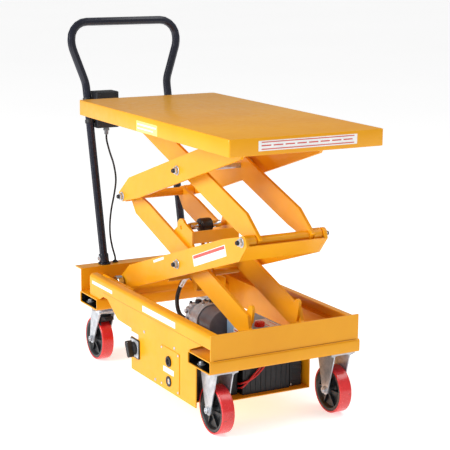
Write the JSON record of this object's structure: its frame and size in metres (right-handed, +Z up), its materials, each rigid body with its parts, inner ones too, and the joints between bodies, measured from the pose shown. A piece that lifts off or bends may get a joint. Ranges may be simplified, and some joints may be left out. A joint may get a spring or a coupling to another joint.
{
  "type": "scissor lift table",
  "caption": "Wheeled scissor lift table with a lipped platform on stacked pairs of arms, a hydraulic ram and power unit in the base, a push handle and casters.",
  "frame": {"origin": "on the floor, under the middle of the whole object's bounding box", "axes": "+Z up, +X along the platform towards the fixed casters, with the handle at -X; the switch panel is on the -Y side"},
  "size_m": [1.2207, 0.5376, 1.1449],
  "materials": {
    "yellow_paint": "satin powder coat",
    "black_plastic": "fine matt texture",
    "black_enamel": "glossy enamel",
    "zinc_plate": "bright zinc plate",
    "plain_steel": "turned, bright zinc",
    "chrome_plate": "hard chrome, polished",
    "grey_paint": "satin",
    "cast_alloy": "machined",
    "tank_paint": "satin",
    "red_plastic": "glossy",
    "hose_rubber": "matt",
    "grey_plastic": "matt",
    "red_polyurethane": "glossy polyurethane",
    "cable_jacket": "matt"
  },
  "bodies": {
    "base": {"side_rail_near": "yellow_paint", "side_rail_far": "yellow_paint", "front_end_beam": "yellow_paint", "rear_end_beam": "yellow_paint", "roller_track_near": "yellow_paint", "roller_track_far": "yellow_paint", "base_pivot_bracket": "yellow_paint", "battery_box": "yellow_paint", "battery_near": "black_plastic", "battery_far": "black_plastic", "access_cover": "yellow_paint", "charge_socket": "black_plastic", "battery_gauge": "black_plastic", "switch_plate": "black_plastic", "pump_motor": "grey_paint", "valve_block": "cast_alloy", "oil_tank": "tank_paint", "oil_cap": "red_plastic", "handle_tube": "black_enamel", "control_box": "black_plastic", "cable_gland": "grey_plastic", "control_cable": "cable_jacket", "rigid_fork_near": "zinc_plate", "rigid_fork_far": "zinc_plate", "swivel_plate_near": "zinc_plate", "swivel_plate_far": "zinc_plate", "base_pivot_shaft": "plain_steel", "hydraulic_hose": "hose_rubber"},
    "lower_inner": {"lower_inner_frame": "yellow_paint", "lower_centre_shaft": "plain_steel", "left_joint_shaft": "plain_steel"},
    "lower_outer": {"lower_outer_frame": "yellow_paint", "right_joint_shaft": "plain_steel"},
    "upper_inner": {"upper_inner_frame": "yellow_paint", "upper_centre_shaft": "plain_steel"},
    "upper_outer": {"upper_outer_frame": "yellow_paint"},
    "platform": {"platform": "yellow_paint", "table_pivot_shaft": "plain_steel"},
    "ram_barrel": {"ram_barrel": "yellow_paint"},
    "ram_rod": {"ram_rod": "chrome_plate"},
    "switch_knob": {"switch_knob": "black_plastic"},
    "raise_button": {"raise_button": "black_plastic"},
    "lower_button": {"lower_button": "black_plastic"},
    "swivel_near": {"swivel_fork_near": "zinc_plate"},
    "brake_near": {"brake_pedal_near": "black_plastic"},
    "base_roller_near": {"base_roller_near": "plain_steel"},
    "table_roller_near": {"table_roller_near": "plain_steel"},
    "wheel_front_near": {"wheel_tread_front_near": "red_polyurethane", "wheel_core_front_near": "black_plastic"},
    "wheel_rear_near": {"wheel_tread_rear_near": "red_polyurethane", "wheel_core_rear_near": "black_plastic"},
    "swivel_far": {"swivel_fork_far": "zinc_plate"},
    "brake_far": {"brake_pedal_far": "black_plastic"},
    "base_roller_far": {"base_roller_far": "plain_steel"},
    "table_roller_far": {"table_roller_far": "plain_steel"},
    "wheel_front_far": {"wheel_tread_front_far": "red_polyurethane", "wheel_core_front_far": "black_plastic"},
    "wheel_rear_far": {"wheel_tread_rear_far": "red_polyurethane", "wheel_core_rear_far": "black_plastic"}
  },
  "joints": [
    {"name": "lift", "type": "hinge", "parent": "base", "child": "lower_inner", "pos_m": [0.4805, 0.01175, 0.272], "axis": [0, 1, 0], "range_deg": [-14, 14], "deforming": ["hydraulic_hose"]},
    {"name": "lower_centre_pivot", "type": "hinge", "parent": "lower_inner", "child": "lower_outer", "pos_m": [0.07863, 0.01175, 0.42026], "axis": [0, 1, 0], "range_deg": [-28.02, 28.02]},
    {"name": "right_mid_pivot", "type": "hinge", "parent": "lower_outer", "child": "upper_inner", "pos_m": [0.4805, 0.01175, 0.56852], "axis": [0, 1, 0], "range_deg": [-28.02, 28.02]},
    {"name": "upper_centre_pivot", "type": "hinge", "parent": "upper_inner", "child": "upper_outer", "pos_m": [0.07863, 0.01175, 0.71678], "axis": [0, 1, 0], "range_deg": [-28.02, 28.02]},
    {"name": "table_pivot", "type": "hinge", "parent": "upper_outer", "child": "platform", "pos_m": [0.4805, 0.01175, 0.86504], "axis": [0, 1, 0], "range_deg": [-14.02, 14.02]},
    {"name": "ram_foot_pivot", "type": "hinge", "parent": "lower_outer", "child": "ram_barrel", "pos_m": [0.00903, 0.01175, 0.31997], "axis": [0, 1, 0], "range_deg": [-14.22, 14.22]},
    {"name": "ram_stroke", "type": "slide", "parent": "ram_barrel", "child": "ram_rod", "axis": [-0.0306, 0, 0.9995], "range_m": [-0.03485, 0.03485]},
    {"name": "base_roller_near", "type": "hinge", "parent": "lower_outer", "child": "base_roller_near", "pos_m": [-0.32325, -0.14125, 0.272], "axis": [0, 1, 0], "continuous": true},
    {"name": "table_roller_near", "type": "hinge", "parent": "upper_inner", "child": "table_roller_near", "pos_m": [-0.32325, -0.09625, 0.86504], "axis": [0, 1, 0], "continuous": true},
    {"name": "swivel_near", "type": "hinge", "parent": "base", "child": "swivel_near", "pos_m": [-0.343, -0.19075, 0.15], "axis": [0, 0, 1], "continuous": true},
    {"name": "wheel_rear_near", "type": "hinge", "parent": "swivel_near", "child": "wheel_rear_near", "pos_m": [-0.376, -0.19075, 0.0735], "axis": [0, 1, 0], "continuous": true},
    {"name": "wheel_front_near", "type": "hinge", "parent": "base", "child": "wheel_front_near", "pos_m": [0.458, -0.19075, 0.0735], "axis": [0, 1, 0], "continuous": true},
    {"name": "brake_near", "type": "hinge", "parent": "swivel_near", "child": "brake_near", "pos_m": [-0.326, -0.19075, 0.1627], "axis": [0, 1, 0], "range_deg": [0, 5]},
    {"name": "base_roller_far", "type": "hinge", "parent": "lower_outer", "child": "base_roller_far", "pos_m": [-0.32325, 0.16475, 0.272], "axis": [0, 1, 0], "continuous": true},
    {"name": "table_roller_far", "type": "hinge", "parent": "upper_inner", "child": "table_roller_far", "pos_m": [-0.32325, 0.11975, 0.86504], "axis": [0, 1, 0], "continuous": true},
    {"name": "swivel_far", "type": "hinge", "parent": "base", "child": "swivel_far", "pos_m": [-0.343, 0.21425, 0.15], "axis": [0, 0, 1], "continuous": true},
    {"name": "wheel_rear_far", "type": "hinge", "parent": "swivel_far", "child": "wheel_rear_far", "pos_m": [-0.376, 0.21425, 0.0735], "axis": [0, 1, 0], "continuous": true},
    {"name": "wheel_front_far", "type": "hinge", "parent": "base", "child": "wheel_front_far", "pos_m": [0.458, 0.21425, 0.0735], "axis": [0, 1, 0], "continuous": true},
    {"name": "brake_far", "type": "hinge", "parent": "swivel_far", "child": "brake_far", "pos_m": [-0.326, 0.21425, 0.1627], "axis": [0, 1, 0], "range_deg": [0, 5]},
    {"name": "main_switch", "type": "hinge", "parent": "base", "child": "switch_knob", "pos_m": [0.009, -0.24175, 0.145], "axis": [0, 1, 0], "range_deg": [0, 90]},
    {"name": "raise_button", "type": "slide", "parent": "base", "child": "raise_button", "axis": [1, 0, 0], "range_m": [0, 0.004], "stiffness_N_per_m": 400},
    {"name": "lower_button", "type": "slide", "parent": "base", "child": "lower_button", "axis": [1, 0, 0], "range_m": [0, 0.004], "stiffness_N_per_m": 400}
  ],
  "couplings": [
    {"joint": "lower_centre_pivot", "follows": "lift", "ratio": -2},
    {"joint": "right_mid_pivot", "follows": "lift", "ratio": 2},
    {"joint": "upper_centre_pivot", "follows": "lift", "ratio": -2},
    {"joint": "table_pivot", "follows": "lift", "ratio": 1},
    {"joint": "ram_foot_pivot", "follows": "lift", "ratio": 1.0146},
    {"joint": "ram_stroke", "follows": "lift", "m_per_rad": 0.14221}
  ]
}
